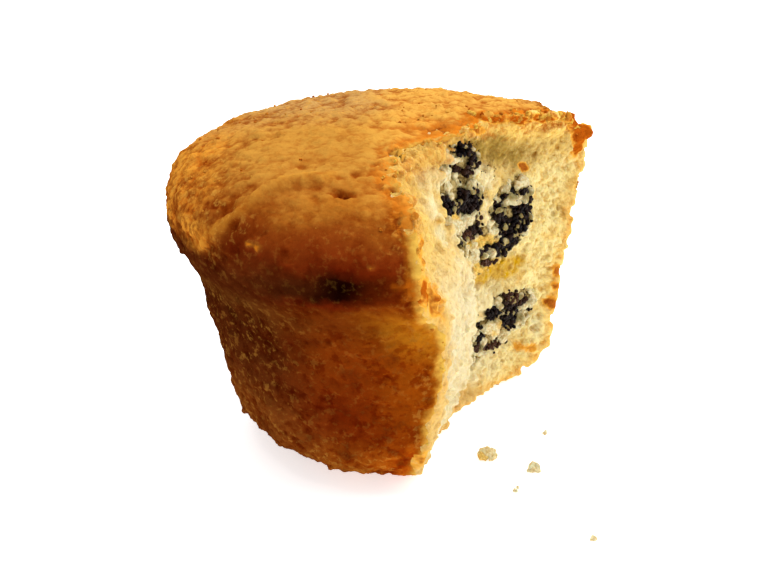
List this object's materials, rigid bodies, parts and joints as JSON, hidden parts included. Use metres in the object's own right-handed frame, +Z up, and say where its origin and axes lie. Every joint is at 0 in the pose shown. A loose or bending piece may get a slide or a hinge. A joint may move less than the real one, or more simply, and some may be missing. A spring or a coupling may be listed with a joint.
{
  "type": "half-eaten bun",
  "caption": "Muffin-shaped baked bun with a domed brown crust, bitten open on one side to show cream crumb and dark poppy-seed filling.",
  "frame": {"origin": "on the bun's flat base, at the axis of its round cap", "axes": "+Z up along the bun's axis; the bite is on the +X, -Y side, and the pictured side faces -Y"},
  "size_m": [0.0656, 0.07, 0.0487],
  "materials": {
    "baked_dough": "matte browned crust over cream crumb",
    "poppy_filling": "moist blue-black poppy-seed paste"
  },
  "bodies": {
    "root": {"bun_body": "baked_dough", "poppy_filling_upper": "poppy_filling", "poppy_filling_lower": "poppy_filling"}
  },
  "joints": []
}
